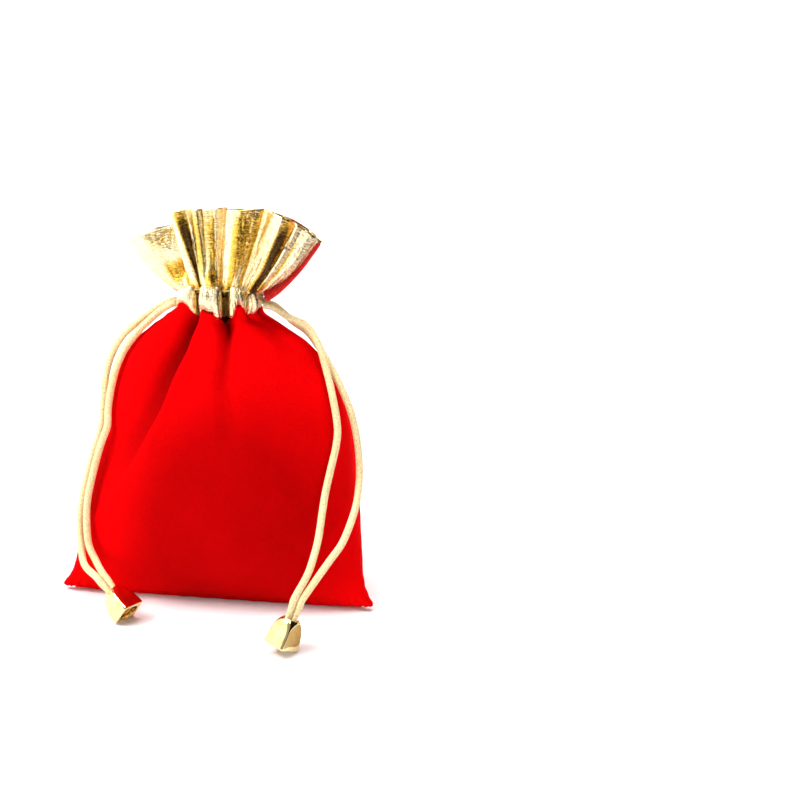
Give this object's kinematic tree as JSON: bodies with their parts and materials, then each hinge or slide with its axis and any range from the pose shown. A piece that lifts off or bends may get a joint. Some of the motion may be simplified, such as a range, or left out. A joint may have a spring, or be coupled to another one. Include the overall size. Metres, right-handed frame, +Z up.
{
  "type": "drawstring gift pouch",
  "caption": "Soft velvet gift pouch standing filled, its neck gathered by drawstrings under a ruffled metallic header; the cord ends hang down the sides into small square bell caps.",
  "frame": {"origin": "on the floor, under the middle of the pouch's own outline without the free cord ends", "axes": "+Z up, the front of the pouch faces -Y, +X to the viewer's right as seen from the front"},
  "size_m": [0.0998, 0.0764, 0.1247],
  "materials": {
    "velvet": "short-pile red velvet",
    "lame": "metallic gold lame, fine crinkle",
    "cord": "cream braided satin cord",
    "sewing_thread": "red sewing thread",
    "gold_thread": "pale gold thread",
    "plated_cap": "gold-plated, mirror gloss"
  },
  "bodies": {
    "pouch": {"front_panel": "velvet", "back_panel": "velvet", "front_channel": "lame", "back_channel": "lame", "front_channel_lining": "lame", "back_channel_lining": "lame", "front_header": "lame", "back_header": "lame", "left_drawstring": "cord", "right_drawstring": "cord", "left_side_stitching": "sewing_thread", "right_side_stitching": "sewing_thread", "bottom_stitching": "sewing_thread", "left_wing_overlock": "sewing_thread", "right_wing_overlock": "sewing_thread", "front_channel_stitching": "gold_thread", "back_channel_stitching": "gold_thread"},
    "left_tail": {"left_tail_back": "cord", "left_tail_front": "cord", "left_knot": "cord"},
    "left_cap": {"left_bead": "plated_cap"},
    "right_tail": {"right_tail_front": "cord", "right_tail_back": "cord", "right_knot": "cord"},
    "right_cap": {"right_bead": "plated_cap"}
  },
  "joints": [
    {"name": "left_tail_swing", "type": "hinge", "parent": "pouch", "child": "left_tail", "pos_m": [-0.0136, -0.0007, 0.0929], "axis": [0, 1, 0], "range_deg": [0, 45]},
    {"name": "left_cap_slide", "type": "slide", "parent": "left_tail", "child": "left_cap", "axis": [-0.7059, 0.4109, 0.5769], "range_m": [0, 0.005]},
    {"name": "right_tail_swing", "type": "hinge", "parent": "pouch", "child": "right_tail", "pos_m": [0.0156, -0.0007, 0.0935], "axis": [0, -1, 0], "range_deg": [0, 45]},
    {"name": "right_cap_slide", "type": "slide", "parent": "right_tail", "child": "right_cap", "axis": [0.311, 0.305, 0.9001], "range_m": [0, 0.005]}
  ]
}
